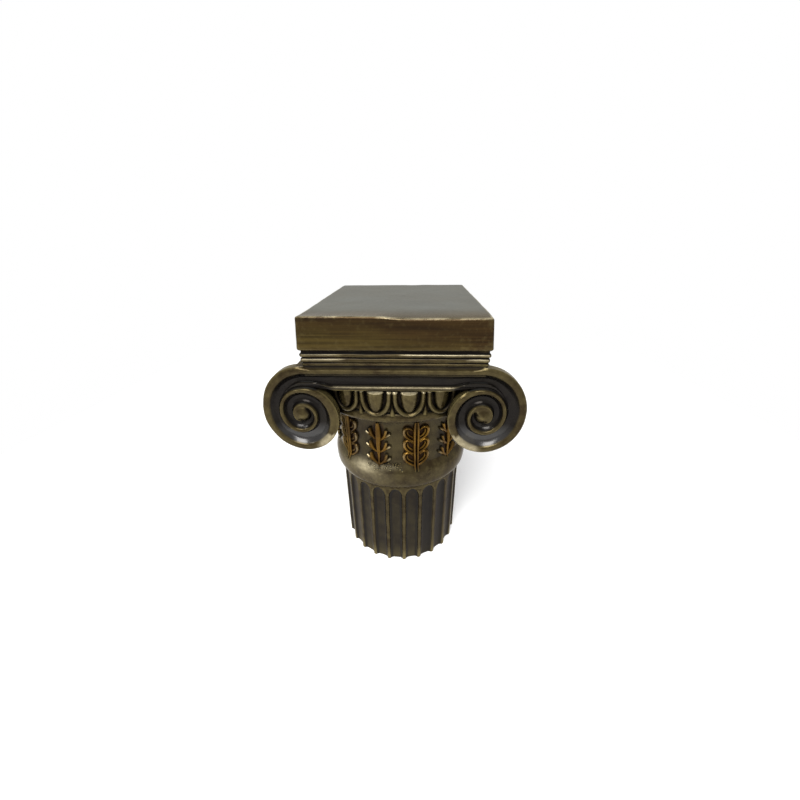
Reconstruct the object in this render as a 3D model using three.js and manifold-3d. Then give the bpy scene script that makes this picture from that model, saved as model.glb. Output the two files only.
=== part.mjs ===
// Small Ionic capital on a short fluted stub, cast in one piece with a bronzed finish.
// Millimetres, +Z up, the front looks along -Y, origin at the middle of the foot.
import * as THREE from 'three';
import { mergeVertices } from 'three/addons/utils/BufferGeometryUtils.js';
import Module from 'manifold-3d';

// Driving dimensions
const TOTAL_HEIGHT = 200;
const SLAB_WIDTH = 102;
const SLAB_DEPTH = 130;
const SHAFT_RADIUS = 47.5;
const SHAFT_TOP = 75.5;
const NECK_RADIUS = 48.5;
const ECHINUS_RADIUS = 61.5;
const VOLUTE_EYE_X = 50.5;
const VOLUTE_EYE_Z = 143.4;
const VOLUTE_RADIUS = 30;

// Facets around the turned parts
const RING_SEGMENTS = 36;

// Slab and the fine courses under it
const SLAB_THICKNESS = 17.5;
const SLAB_EDGE = 1.4;
const SLAB_BOTTOM = TOTAL_HEIGHT - SLAB_THICKNESS;
const QUIRK_HEIGHT = 1.8;
const QUIRK_DEPTH = 0.9;
const COURSE_TOP = SLAB_BOTTOM - QUIRK_HEIGHT;
const COURSES = [
  { inset: 0.2, height: 2.2, gap: 0.8 },
  { inset: 0.7, height: 2.1, gap: 0.5 },
  { inset: 1.3, height: 1.5, gap: 0.6 },
];
const COURSE_EDGE = 0.6;
const COURSE_CORE_INSET = 1.9;
const COURSE_CORE_OVERLAP = 4;
const CORNER_RADIUS = 1.6;

// Fluted shaft
const FLUTE_COUNT = 24;
const FLUTE_PITCH = (2 * Math.PI) / FLUTE_COUNT;
const FLUTE_DEPTH = 2.2;
const FLUTE_HALF_WIDTH = 4.8;
const FLUTE_TOP = SHAFT_TOP - 2.4;
const FLUTE_FACETS = 12;
const FLUTE_HEAD_STEPS = 2;
const SHAFT_BURIED = 1;
const CORE_BURIED = 2;
const FRONT_ARRIS = THREE.MathUtils.degToRad(5);

// Collar and neck
const COLLAR_SWELL = 3.6;
const COLLAR_HEIGHT = 86;
const COLLAR_SPREAD = 9.5;
const NECK_FOOT = SHAFT_TOP + 2;
const NECK_FLARE_START = 122;
const NECK_TOP = 134;
const NECK_FLARE = 2.4;
const NECK_STEPS = 7;

// Bead and egg-and-dart ring
const BEAD_BOTTOM = 137;
const BEAD_TOP = 143.4;
const BEAD_BULGE = 1.2;
const BEAD_STEPS = 4;
const EGG_COUNT = 20;
const EGG_PITCH = (2 * Math.PI) / EGG_COUNT;
const EGG_TOP = 158;
const EGG_MIDDLE = 155.5;
const EGG_HALF_WIDTH = 5.2;
const EGG_DROP = 10;
const EGG_BULGE = 4;
const SHELL_HALF_WIDTH = 9.4;
const SHELL_DROP = 12.8;
const SHELL_WALL = 2;
const SHELL_BULGE = 3;
const DART_HALF_WIDTH = 1.3;
const DART_DROP = 12.4;
const RING_BURIED = 3;
const RING_SIDE_LIMIT = THREE.MathUtils.degToRad(75);

// Leaves on the neck
const LEAF_COUNT = 12;
const LEAF_BOTTOM = 91.5;
const LEAF_HEIGHT = 40;
const LEAFLET_ROWS = 3;
const LEAF_RELIEF = 1.3;
const LEAF_MIDRIB = 2.1;
const LEAF_BURIED = 1.5;
const LEAF_TIP = 0.2;
const FEATHER_LEAF = { halfWidth: 8.4, widths: [0.35, 0.75, 1] };
const LOBE_LEAF = { halfWidth: 9.2, widths: [0.5, 0.95, 1] };

// Scrolls
const SCROLL_FRONT = SLAB_DEPTH / 2 - 0.6;
const SCROLL_THICKNESS = 6;
const SCROLL_SQUEEZE = 0.92;
const SPIRAL_TURNS = 4;
const SPIRAL_POWER = 1.9;
const SPIRAL_STEPS = 16;
const RIM_START = 4.2;
const RIM_LOSS_PER_TURN = 0.9;
const CHANNEL_DEPTH = 3;
const LIP_DROP = 1;
const LIP_RISE = 0.8;
const LIP_START = 5;
const OUTLINE_END = 0.98;
const EYE_RADIUS = 4.8;
const EYE_RISE = 0.6;
const EYE_GAP = 0.4;
const BLOCK_OVERLAP = 0.3;
const WAIST_SCALE = 0.66;
const BOLSTER_END_SCALE = 0.97;
const BOLSTER_STEPS = 8;

const wasm = await Module();
wasm.setup();

// A closed three.js geometry as a solid that can be joined and cut.
function solidOf(geometry) {
  const bare = geometry.index ? geometry.toNonIndexed() : geometry.clone();
  bare.deleteAttribute('normal');
  bare.deleteAttribute('uv');
  const merged = mergeVertices(bare);
  const index = merged.index.array;
  const triangles = [];
  for (let i = 0; i < index.length; i += 3) {
    const [a, b, c] = [index[i], index[i + 1], index[i + 2]];
    if (a !== b && b !== c && c !== a) triangles.push(a, b, c);
  }
  return new wasm.Manifold(new wasm.Mesh({
    numProp: 3,
    vertProperties: new Float32Array(merged.attributes.position.array),
    triVerts: new Uint32Array(triangles),
  }));
}

function joinAll(solids) {
  return solids.reduce((whole, solid) => whole.add(solid));
}

function geometryOf(solid) {
  const mesh = solid.getMesh();
  const geometry = new THREE.BufferGeometry();
  geometry.setAttribute('position', new THREE.BufferAttribute(mesh.vertProperties, 3));
  geometry.setIndex(new THREE.BufferAttribute(mesh.triVerts, 1));
  geometry.computeVertexNormals();
  return geometry;
}

// A turned body: [radius, height] pairs from the bottom of the axis to its top.
function turned(profile, segments) {
  const points = profile.map(([radius, height]) => new THREE.Vector2(radius, height));
  return new THREE.LatheGeometry(points, segments).rotateX(Math.PI / 2);
}

// Places a shape drawn in x (along the ring), y (up) and z (outward) at an angle from the front.
function facingOut(angle, radius, height) {
  const along = new THREE.Vector3(Math.cos(angle), Math.sin(angle), 0);
  const outward = new THREE.Vector3(Math.sin(angle), -Math.cos(angle), 0);
  const place = new THREE.Matrix4().makeBasis(along, new THREE.Vector3(0, 0, 1), outward);
  return place.setPosition(outward.x * radius, outward.y * radius, height);
}

// A flat plate with round corners in plan and eased top and bottom edges.
function easedPlate(width, depth, low, high, edge) {
  const halfX = width / 2 - edge;
  const halfY = depth / 2 - edge;
  const round = CORNER_RADIUS;
  const plan = new THREE.Shape();
  plan.absarc(halfX - round, halfY - round, round, 0, Math.PI / 2);
  plan.absarc(-halfX + round, halfY - round, round, Math.PI / 2, Math.PI);
  plan.absarc(-halfX + round, -halfY + round, round, Math.PI, 1.5 * Math.PI);
  plan.absarc(halfX - round, -halfY + round, round, 1.5 * Math.PI, 2 * Math.PI);
  const plate = new THREE.ExtrudeGeometry(plan, {
    depth: high - low - 2 * edge,
    curveSegments: edge > COURSE_EDGE ? 2 : 1,
    bevelThickness: edge,
    bevelSize: edge,
    bevelSegments: edge > COURSE_EDGE ? 2 : 1,
  });
  return solidOf(plate.translate(0, 0, low + edge));
}

function slabAndCourses() {
  const coreInset = 2 * COURSE_CORE_INSET;
  const layers = [
    easedPlate(SLAB_WIDTH, SLAB_DEPTH, SLAB_BOTTOM, TOTAL_HEIGHT, SLAB_EDGE),
    easedPlate(
      SLAB_WIDTH - 2 * QUIRK_DEPTH, SLAB_DEPTH - 2 * QUIRK_DEPTH,
      COURSE_TOP - COURSE_EDGE, SLAB_BOTTOM + SLAB_EDGE, COURSE_EDGE / 2,
    ),
  ];
  let top = COURSE_TOP;
  for (const course of COURSES) {
    const inset = 2 * course.inset;
    const low = top - course.height;
    layers.push(easedPlate(SLAB_WIDTH - inset, SLAB_DEPTH - inset, low, top, COURSE_EDGE));
    top = low - course.gap;
  }
  layers.push(easedPlate(
    SLAB_WIDTH - coreInset, SLAB_DEPTH - coreInset,
    top - COURSE_CORE_OVERLAP, COURSE_TOP, COURSE_EDGE,
  ));
  return joinAll(layers);
}

// Round-bottomed grooves with arched heads, open at the foot.
function fluteCutter() {
  const radius = (FLUTE_HALF_WIDTH ** 2 + FLUTE_DEPTH ** 2) / (2 * FLUTE_DEPTH);
  const spring = FLUTE_TOP - radius;
  const belowFoot = -FLUTE_DEPTH;
  const profile = [[0, belowFoot], [radius, belowFoot]];
  for (let step = 0; step < FLUTE_HEAD_STEPS; step += 1) {
    const rise = (step / FLUTE_HEAD_STEPS) * Math.PI / 2;
    profile.push([radius * Math.cos(rise), spring + radius * Math.sin(rise)]);
  }
  profile.push([0, spring + radius]);
  return turned(profile, FLUTE_FACETS).translate(0, -(SHAFT_RADIUS - FLUTE_DEPTH + radius), 0);
}

function flutedShaft() {
  const segments = 2 * FLUTE_COUNT;
  const flatRadius = SHAFT_RADIUS / Math.cos(Math.PI / segments);
  const top = SHAFT_TOP + SHAFT_BURIED;
  const profile = [[0, 0], [flatRadius, 0], [flatRadius, top], [0, top]];
  const drum = turned(profile, segments).rotateZ(FRONT_ARRIS + FLUTE_PITCH / 4);
  let shaft = solidOf(drum);
  for (let flute = 0; flute < FLUTE_COUNT; flute += 1) {
    const angle = FRONT_ARRIS + (flute + 0.5) * FLUTE_PITCH;
    shaft = shaft.subtract(solidOf(fluteCutter().rotateZ(angle)));
  }
  return shaft;
}

// Radius of the smooth surface from the collar up to the underside of the bead.
function neckRadius(height) {
  const collar = COLLAR_SWELL * Math.exp(-(((height - COLLAR_HEIGHT) / COLLAR_SPREAD) ** 2));
  const flare = Math.max(0, (height - NECK_FLARE_START) / (NECK_TOP - NECK_FLARE_START));
  return NECK_RADIUS + collar + NECK_FLARE * flare ** 2;
}

// Collar, neck, bead and the ground of the egg-and-dart ring, turned in one profile.
// The steps up the neck are closest at the collar, where the curve is tightest.
function turnedCore() {
  const foot = SHAFT_TOP - CORE_BURIED;
  const crown = EGG_TOP + RING_BURIED;
  const profile = [[0, foot], [SHAFT_RADIUS - CORE_BURIED, foot], [SHAFT_RADIUS, SHAFT_TOP]];
  for (let step = 0; step <= NECK_STEPS; step += 1) {
    const height = NECK_FOOT + (NECK_TOP - NECK_FOOT) * (step / NECK_STEPS) ** 1.5;
    profile.push([neckRadius(height), height]);
  }
  for (let step = 0; step <= BEAD_STEPS; step += 1) {
    const turn = Math.PI * (step / BEAD_STEPS);
    const radius = ECHINUS_RADIUS + BEAD_BULGE * (2 * Math.sin(turn) - 1);
    profile.push([radius, BEAD_BOTTOM + (BEAD_TOP - BEAD_BOTTOM) * (1 - Math.cos(turn)) / 2]);
  }
  profile.push([ECHINUS_RADIUS, EGG_TOP], [ECHINUS_RADIUS - RING_BURIED, crown], [0, crown]);
  return solidOf(turned(profile, RING_SEGMENTS));
}

// One egg: the lower part of an egg shape, seated on the ring's ground.
function egg(angle) {
  const shape = new THREE.SphereGeometry(1, 8, 5).rotateX(Math.PI / 2);
  shape.scale(EGG_HALF_WIDTH, EGG_DROP, EGG_BULGE);
  return solidOf(shape.applyMatrix4(facingOut(angle, ECHINUS_RADIUS, EGG_MIDDLE)));
}

// The shell around an egg: a U-shaped band.
function shell(angle) {
  const arcSteps = 6;
  const outline = [];
  const addArc = (halfWidth, drop, first, last) => {
    for (let step = 0; step <= arcSteps; step += 1) {
      const turn = first + (last - first) * (step / arcSteps);
      outline.push(new THREE.Vector2(halfWidth * Math.cos(turn), drop * Math.sin(turn)));
    }
  };
  const head = EGG_TOP + SHELL_WALL - EGG_MIDDLE;
  outline.push(new THREE.Vector2(-SHELL_HALF_WIDTH, head));
  addArc(SHELL_HALF_WIDTH, SHELL_DROP, Math.PI, 2 * Math.PI);
  outline.push(new THREE.Vector2(SHELL_HALF_WIDTH, head));
  outline.push(new THREE.Vector2(SHELL_HALF_WIDTH - SHELL_WALL, head));
  addArc(SHELL_HALF_WIDTH - SHELL_WALL, SHELL_DROP - SHELL_WALL, 2 * Math.PI, Math.PI);
  outline.push(new THREE.Vector2(SHELL_WALL - SHELL_HALF_WIDTH, head));
  const band = new THREE.ExtrudeGeometry(new THREE.Shape(outline), {
    depth: SHELL_BULGE + RING_BURIED,
    bevelEnabled: false,
  });
  return solidOf(band.applyMatrix4(facingOut(angle, ECHINUS_RADIUS - RING_BURIED, EGG_MIDDLE)));
}

function dart(angle) {
  const shape = new THREE.OctahedronGeometry(1, 0);
  shape.scale(DART_HALF_WIDTH, DART_DROP, SHELL_BULGE);
  return solidOf(shape.applyMatrix4(facingOut(angle, ECHINUS_RADIUS, EGG_MIDDLE)));
}

// The rolls cover the ring at its two sides, so the carving stops inside them.
function inFrontOfRoll(angle) {
  return Math.abs(Math.sin(angle)) < Math.sin(RING_SIDE_LIMIT);
}

function eggAndDartRing() {
  const pieces = [];
  for (let place = 0; place < EGG_COUNT; place += 1) {
    const dartAngle = place * EGG_PITCH;
    const eggAngle = dartAngle + EGG_PITCH / 2;
    if (inFrontOfRoll(dartAngle)) pieces.push(dart(dartAngle));
    if (inFrontOfRoll(eggAngle)) pieces.push(egg(eggAngle), shell(eggAngle));
  }
  const reach = 2 * ECHINUS_RADIUS;
  const above = EGG_TOP + 2 * EGG_DROP;
  const trim = turned([[0, EGG_TOP], [reach, EGG_TOP], [reach, above], [0, above]], RING_SEGMENTS);
  return joinAll(pieces).subtract(solidOf(trim));
}

// One leaf: a blade with a raised midrib, wrapped on the neck, its sides cut into leaflets or lobes.
function leafBlade(angle, leaf) {
  const steps = LEAFLET_ROWS * leaf.widths.length;
  const blade = new THREE.BoxGeometry(2, 1, 1, 2, steps, 1);
  const position = blade.attributes.position;
  for (let i = 0; i < position.count; i += 1) {
    const side = Math.round(position.getX(i));
    const along = position.getY(i) + 0.5;
    const step = Math.round(along * steps);
    const share = step < steps ? leaf.widths[step % leaf.widths.length] : LEAF_TIP;
    const rise = side === 0 ? LEAF_MIDRIB : LEAF_RELIEF;
    const height = LEAF_BOTTOM + LEAF_HEIGHT * along;
    const radius = neckRadius(height) + (position.getZ(i) > 0 ? rise : -LEAF_BURIED);
    const turn = angle + (side * leaf.halfWidth * share) / NECK_RADIUS;
    position.setXYZ(i, radius * Math.sin(turn), -radius * Math.cos(turn), height);
  }
  return solidOf(blade);
}

function leafBand() {
  const leaves = [];
  for (let place = 0; place < LEAF_COUNT; place += 1) {
    const angle = ((place + 0.5) / LEAF_COUNT) * 2 * Math.PI;
    leaves.push(leafBlade(angle, place % 2 === 0 ? LOBE_LEAF : FEATHER_LEAF));
  }
  return joinAll(leaves);
}

// Scroll spiral: distance from the eye after some turns, counted from straight above the eye.
function spiralRadius(turns) {
  return VOLUTE_RADIUS * (1 - turns / SPIRAL_TURNS) ** SPIRAL_POWER;
}

function rimWidth(turns) {
  return RIM_START - RIM_LOSS_PER_TURN * turns;
}

// A point of the right-hand scroll, at a distance from its eye; side -1 gives the left-hand scroll.
function scrollPoint(turns, radius, side) {
  const turn = turns * 2 * Math.PI;
  const across = VOLUTE_EYE_X + SCROLL_SQUEEZE * radius * Math.sin(turn);
  return new THREE.Vector2(side * across, VOLUTE_EYE_Z + radius * Math.cos(turn));
}

// Points from one turn count to another on a spiral line given as a function of the turns.
function spiralLine(first, last, radiusAt, side) {
  const count = Math.ceil(Math.abs(last - first) * SPIRAL_STEPS);
  const line = [];
  for (let step = 0; step <= count; step += 1) {
    const turns = first + (last - first) * (step / count);
    line.push(scrollPoint(turns, radiusAt(turns), side));
  }
  return line;
}

// The flat band that ends in a scroll on each side, as one outline.
function scrollOutline() {
  const lip = spiralRadius(1) - LIP_DROP;
  const right = spiralLine(0, OUTLINE_END, spiralRadius, 1);
  const left = spiralLine(OUTLINE_END, 0, spiralRadius, -1);
  const inner = VOLUTE_EYE_X - LIP_START;
  return new THREE.Shape([
    ...right,
    new THREE.Vector2(inner, VOLUTE_EYE_Z + lip),
    new THREE.Vector2(-inner, VOLUTE_EYE_Z + lip),
    ...left,
  ]);
}

// Where the channel runs out against the eye.
function channelEnd() {
  let turns = 1;
  while (spiralRadius(turns) - rimWidth(turns) > EYE_RADIUS + EYE_GAP) turns += 0.5 / SPIRAL_STEPS;
  return turns;
}

// The sunk channel between the rims, from one eye along the band to the other.
function channelOutline() {
  const end = channelEnd();
  const outerEdge = (turns) => spiralRadius(turns) - rimWidth(turns);
  const innerEdge = (turns) => Math.max(spiralRadius(turns + 1), EYE_RADIUS);
  const lipTop = VOLUTE_EYE_Z + spiralRadius(1) + LIP_RISE;
  const inner = VOLUTE_EYE_X - LIP_START;
  return new THREE.Shape([
    ...spiralLine(0, end, outerEdge, 1),
    ...spiralLine(end, 0, innerEdge, 1),
    new THREE.Vector2(inner, lipTop),
    new THREE.Vector2(-inner, lipTop),
    ...spiralLine(0, end, innerEdge, -1),
    ...spiralLine(end, 0, outerEdge, -1),
  ]);
}

// A shape drawn in x and z, given a thickness from a front plane backwards.
function upright(shape, front, thickness) {
  const plate = new THREE.ExtrudeGeometry(shape, { depth: thickness, bevelEnabled: false });
  return solidOf(plate.rotateX(Math.PI / 2).translate(0, front + thickness, 0));
}

function eye(side) {
  const bulb = new THREE.SphereGeometry(1, 10, 6).rotateX(Math.PI / 2);
  bulb.scale(EYE_RADIUS * SCROLL_SQUEEZE, CHANNEL_DEPTH + EYE_RISE, EYE_RADIUS);
  return solidOf(bulb.translate(side * VOLUTE_EYE_X, CHANNEL_DEPTH - SCROLL_FRONT, VOLUTE_EYE_Z));
}

// One face of the capital: the band with its scrolls, channel and eyes.
function scrollFace() {
  const plate = upright(scrollOutline(), -SCROLL_FRONT, SCROLL_THICKNESS);
  const channel = upright(channelOutline(), -SCROLL_FRONT - CHANNEL_DEPTH, 2 * CHANNEL_DEPTH);
  return plate.subtract(channel).add(eye(-1)).add(eye(1));
}

// The roll between a front scroll and a back scroll, narrowest halfway.
function bolster(side) {
  const outline = new THREE.Shape(spiralLine(0, OUTLINE_END, spiralRadius, 1));
  const length = 2 * (SCROLL_FRONT - SCROLL_THICKNESS / 2);
  const roll = new THREE.ExtrudeGeometry(outline, {
    depth: length,
    steps: BOLSTER_STEPS,
    bevelEnabled: false,
  });
  roll.rotateX(Math.PI / 2).translate(0, length / 2, 0);
  const position = roll.attributes.position;
  for (let i = 0; i < position.count; i += 1) {
    const along = Math.abs(position.getY(i)) / (length / 2);
    const scale = WAIST_SCALE + (BOLSTER_END_SCALE - WAIST_SCALE) * along ** 2;
    position.setX(i, VOLUTE_EYE_X + (position.getX(i) - VOLUTE_EYE_X) * scale);
    position.setZ(i, VOLUTE_EYE_Z + (position.getZ(i) - VOLUTE_EYE_Z) * scale);
  }
  const solid = solidOf(roll);
  return side > 0 ? solid : solid.rotate([0, 0, 180]);
}

// The block that fills the space between the rolls, under the courses.
function bandBlock() {
  const low = VOLUTE_EYE_Z + spiralRadius(1) - LIP_DROP;
  const high = VOLUTE_EYE_Z + VOLUTE_RADIUS;
  const depth = 2 * (SCROLL_FRONT - SCROLL_THICKNESS / 2);
  const block = new THREE.BoxGeometry(2 * (VOLUTE_EYE_X + BLOCK_OVERLAP), depth, high - low);
  return solidOf(block.translate(0, 0, (low + high) / 2));
}

function capital() {
  const face = scrollFace();
  return joinAll([
    turnedCore(),
    eggAndDartRing(),
    leafBand(),
    bandBlock(),
    bolster(1),
    bolster(-1),
    face,
    face.rotate([0, 0, 180]),
    slabAndCourses(),
  ]);
}

const bronzed = new THREE.MeshStandardMaterial({ color: 0x6a5a3c, roughness: 0.45, metalness: 0.6 });
const column = new THREE.Mesh(geometryOf(flutedShaft().add(capital())), bronzed);
column.name = 'ionic_column';

const group = new THREE.Group();
group.add(column);

export default group;
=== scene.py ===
# Looks of a small bronzed Ionic column: the carving as one fine mesh, its antique finish, a plain studio.
import math
from collections import defaultdict

import bmesh
import bpy
import numpy as np
from mathutils import Matrix, Vector, noise
from mathutils.bvhtree import BVHTree


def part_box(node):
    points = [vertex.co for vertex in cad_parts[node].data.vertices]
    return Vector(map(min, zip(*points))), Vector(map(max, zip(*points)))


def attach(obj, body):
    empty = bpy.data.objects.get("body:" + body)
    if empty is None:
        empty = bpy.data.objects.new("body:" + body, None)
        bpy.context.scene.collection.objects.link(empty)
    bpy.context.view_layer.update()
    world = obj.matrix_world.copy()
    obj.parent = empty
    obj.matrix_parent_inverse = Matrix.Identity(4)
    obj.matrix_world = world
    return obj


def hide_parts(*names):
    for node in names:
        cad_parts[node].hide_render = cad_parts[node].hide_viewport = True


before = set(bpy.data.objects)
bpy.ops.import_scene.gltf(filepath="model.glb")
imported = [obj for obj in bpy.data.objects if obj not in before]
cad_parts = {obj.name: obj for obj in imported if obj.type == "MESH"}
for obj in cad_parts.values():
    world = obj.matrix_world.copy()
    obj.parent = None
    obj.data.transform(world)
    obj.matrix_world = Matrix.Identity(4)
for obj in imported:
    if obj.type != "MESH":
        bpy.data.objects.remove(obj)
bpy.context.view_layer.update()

# All sizes below are millimetres of a column this tall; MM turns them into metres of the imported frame.
NODE = "ionic_column"
TOTAL_HEIGHT = 200.0
node_low, node_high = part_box(NODE)
MM = (node_high.z - node_low.z) / TOTAL_HEIGHT

# Slab and the fine courses under it
SLAB_HALF_X = 51.9
SLAB_HALF_Y = 65.0
SLAB_BOTTOM = 182.5
SLAB_EDGE = 1.3
CORNER_RADIUS = 1.8
TOP_WAVE = 0.7
TOP_WAVE_X = -3.0
TOP_WAVE_LENGTH = 5.0
TOP_WAVE_REACH = 7.0
COURSE_BOTTOM = 168.0
COURSE_CORE_INSET = 1.7
QUIRK_INSET = 1.4
SLAB_BATTER = 1.0
HIDDEN_INSET = 20.0
EDGE_LINE_INSET = 2.75
UPPER_DASHES = 180.4
LOWER_DASHES = 177.6
DASH_WIDTH = 0.35
LOWEST_COURSE = 174.6
COURSE_CLIMB = 5.4
WORN_HALF = 24.0
WORN_FADE = 14.0
# each course: its foot and top, how far it is drawn in, what the groove over it keeps of its depth
COURSES = ((173.9, 175.3, 1.2, 0.3), (175.9, 178.2, 0.9, 1.0), (178.8, 180.9, 0.6, 1.0))

# Fluted shaft
SHAFT_RADIUS = 47.5
SHAFT_TOP = 75.6
FLUTE_COUNT = 24
FLUTE_PITCH = 2 * math.pi / FLUTE_COUNT
FLUTE_DEPTH = 2.2
FLUTE_HALF_ANGLE = 0.41 * FLUTE_PITCH
FLUTE_SPRING = 65.5
FLUTE_TOP = 73.6
FLUTE_TIP = 0.06
FRONT_ARRIS = math.radians(5)

# Neck, collar, bead and the ground of the egg ring
CAP_RADIUS = 0.5
CORE_RADIUS = 44.0
COLLAR_FOOT_RADIUS = 44.6
SOFFIT_RADIUS = 58.5
NECK_RADIUS = 48.5
NECK_FOOT = 97.0
GROUND_LIFT = 0.4
COLLAR_SWELL = 3.5
COLLAR_MIDDLE = 87.0
COLLAR_HALF = 10.2
NECK_FLARE_START = 122.0
NECK_TOP = 134.5
NECK_FLARE = 2.4
ECHINUS_RADIUS = 61.5
BEAD_BOTTOM = 137.0
BEAD_TOP = 143.6
BEAD_BULGE = 1.3
RING_CROWN = 161.0
RING_COLUMNS = 180

# Egg-and-dart ring
EGG_COUNT = 20
EGG_PITCH = 2 * math.pi / EGG_COUNT
RING_TURN = math.radians(-1.5)
RING_SIDE_LIMIT = math.radians(75)
EGG_TOP = 157.6
EGG_BOTTOM = 143.5
EGG_BEVEL = 0.7
BEVEL_SHARE = 0.7
EGG_TIP = 0.004
EGG_HALF_WIDTH = 4.9
EGG_BULGE = 4.0
SHELL_HALF_WIDTH = 7.9
SHELL_MIDDLE = 153.5
SHELL_BOTTOM = 143.2
SHELL_BAND = 1.6
SHELL_RISE = 3.0
DART_BOTTOM = 142.4
BURIED = 2.5

# Unevenness of the casting, the same in every run, and the grains left on the collar
CASTING_SEED = 7
BROAD_LENGTH = 11.0
BROAD_SIZE = 0.18
FINE_LENGTH = 3.1
FINE_SIZE = 0.07
GRAIN_ANGLES = np.radians(np.linspace(-24, 3, 19))
GRAIN_HEIGHTS = (93.4, 95.2, 97.0)
GRAIN_SMALLEST = 0.25
GRAIN_LARGEST = 0.65
GRAIN_GROUPS = 4

# Leaves on the neck
LEAF_COUNT = 12
LEAF_PITCH = 2 * math.pi / LEAF_COUNT
LEAF_FOOT = 92.0
LEAF_MIDDLE = 110.0
LEAF_TOP = 130.0
LEAFLET_ROWS = 3
LEAFLET_PITCH = 9.6
FEATHER_FIRST = 96.6
HIGH_PRONG = (5.6, 8.6)
LOW_PRONG = (8.4, 5.8)
LOBE_FIRST = 96.0

# Scrolls: each eye of a face, how far its outer turn leans in, and the turn where its inner groove ends
RIGHT_SCROLL = {"side": 1, "eye": 50.5, "lean": -0.7, "groove_end": 1.76}
LEFT_SCROLL = {"side": -1, "eye": 54.5, "lean": -2.0, "groove_end": 1.86}
EYE_HEIGHT = 143.2
SCROLL_RADIUS = 30.0
SCROLL_SAG = 1.1
SCROLL_SQUEEZE = 0.92
SPIRAL_TURNS = 4.0
SPIRAL_POWER = 1.9
TURN_STEPS = 64
SPIRAL_END = 163 / TURN_STEPS
BAND_STEPS = 26
SCROLL_FRONT = 64.4
SCROLL_BACK = 58.4
RIM_WIDTH = 3.9
RIM_NARROWING = 1.3
CROWN_DROP = 0.35
GROOVE_RETURN = 2.35
RIM_END = 2.3
RIM_FLANK = 1.9
OUTER_FLANK = 0.8
RIM_FLANK_WIDTH = 0.9
COVE_DEPTH = 1.7
COVE_WIDTH = 1.1
RIM_SHARES = np.array([0, 0.1, 0.22, 0.36, 0.5, 0.64, 0.78, 0.9, 1.0])
TROUGH_DEPTH = 3.0
TROUGH_SHARES = np.linspace(0, 1, 19)[1:]
LIP_DROP = 1.5
LIP_DEPTH = 1.1
LIP_LINE = 0.3
LIP_PLACE = 0.66
LIP_STRENGTH = 0.8
LIP_HEIGHT = 161.1
LIP_HALF_LENGTH = 36.0
BAND_DARK_FOOT = 171.4
BAND_DARK_TOP = 174.0
BAND_DARK_HALF = 47.0
GLOSS_TOP = 140.0
EYE_RISE = 1.1
EYE_RINGS = 6
WAIST_SCALE = 0.66
ROLL_END_SCALE = 0.97
ROLL_STEPS = 32
ROLL_END = 61.4

# The camera fitted to the photograph: place in millimetres, turns in radians, focal length in pixels
CAMERA_PLACE = (11.222, -229.127, 235.746)
CAMERA_YAW = -0.0499172
CAMERA_PITCH = 0.4600302
CAMERA_ROLL = -0.0112819
FOCAL_PIXELS = 326.739
IMAGE_PIXELS = 800
SENSOR_MM = 36.0

# Studio, in metres and watts: the floor, and each lamp's name, place, size and power
FLOOR_HALF = 0.5
LAMPS = (("overhead", (-0.1, -0.8, 1.05), 0.7, 23), ("upper_left", (-1.0, -0.35, 1.25), 0.4, 9))


def smooth(value):
    """An even step from 0 to 1."""
    share = np.clip(value, 0.0, 1.0)
    return share * share * (3 - 2 * share)


def ramp_up(value, start, length):
    """0 up to the start, 1 from a length after it."""
    return smooth((value - start) / length)


def ramp_down(value, end, length):
    """1 until a length before the end, 0 after it."""
    return smooth((end - value) / length)


def bell(offset, width):
    """1 at no offset, dying away on both sides."""
    return np.exp(-((offset / width) ** 2))


# Closed bodies: an array of points and a list of faces
def facing_out(points, faces):
    """The same body with its faces turned outwards."""
    volume = 0.0
    for face in faces:
        first = points[face[0]]
        for second, third in zip(face[1:], face[2:]):
            volume += np.dot(first, np.cross(points[second], points[third]))
    if volume < 0:
        faces = [face[::-1] for face in faces]
    return points, faces


def joined(bodies):
    """Several bodies as one."""
    points, faces, count = [], [], 0
    for body_points, body_faces in bodies:
        points.append(body_points)
        faces.extend(tuple(index + count for index in face) for face in body_faces)
        count += len(body_points)
    return np.vstack(points), faces


def loft(rings):
    """A body through closed rings of equal point count, capped at both ends."""
    rings = np.asarray(rings, float)
    rows, columns = rings.shape[:2]
    ends = [rings[0].mean(axis=0), rings[-1].mean(axis=0)]
    points = np.vstack([rings.reshape(-1, 3), ends])
    foot = rows * columns
    last = (rows - 1) * columns
    faces = []
    for column in range(columns):
        after = (column + 1) % columns
        faces.append((foot, after, column))
        faces.append((foot + 1, last + column, last + after))
        for start in range(0, last, columns):
            above = start + columns
            faces.append((start + column, start + after, above + after, above + column))
    return facing_out(points, faces)


def around(radius, angle, height):
    """Points at a radius from the axis, at an angle from the front."""
    radius, angle, height = np.broadcast_arrays(radius, angle, height)
    return np.stack([radius * np.sin(angle), -radius * np.cos(angle), height], axis=-1)


def turned(profile, columns):
    """A turned body from radius and height pairs, lowest first."""
    angles = np.arange(columns) * 2 * math.pi / columns
    return loft([around(radius, angles, height) for radius, height in profile])


def bezier(controls, steps):
    """Points of the smooth curve that a few control points pull along."""
    controls = np.asarray(controls, float)
    share = np.linspace(0, 1, steps + 1)[:, None]
    degree = len(controls) - 1
    curve = np.zeros((steps + 1, controls.shape[1]))
    for place, control in enumerate(controls):
        curve += math.comb(degree, place) * share**place * (1 - share) ** (degree - place) * control
    return curve


def half_round(sides, power=1.0):
    """Across, lift and sunk depth around a half-round section whose back lies below the surface."""
    arc = np.linspace(0, math.pi, sides + 1)
    across = np.concatenate([np.cos(arc), [-0.8, 0.8]])
    lift = np.concatenate([np.sin(arc) ** power, [0, 0]])
    return across, lift, np.concatenate([np.zeros(sides + 1), [BURIED, BURIED]])


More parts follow.
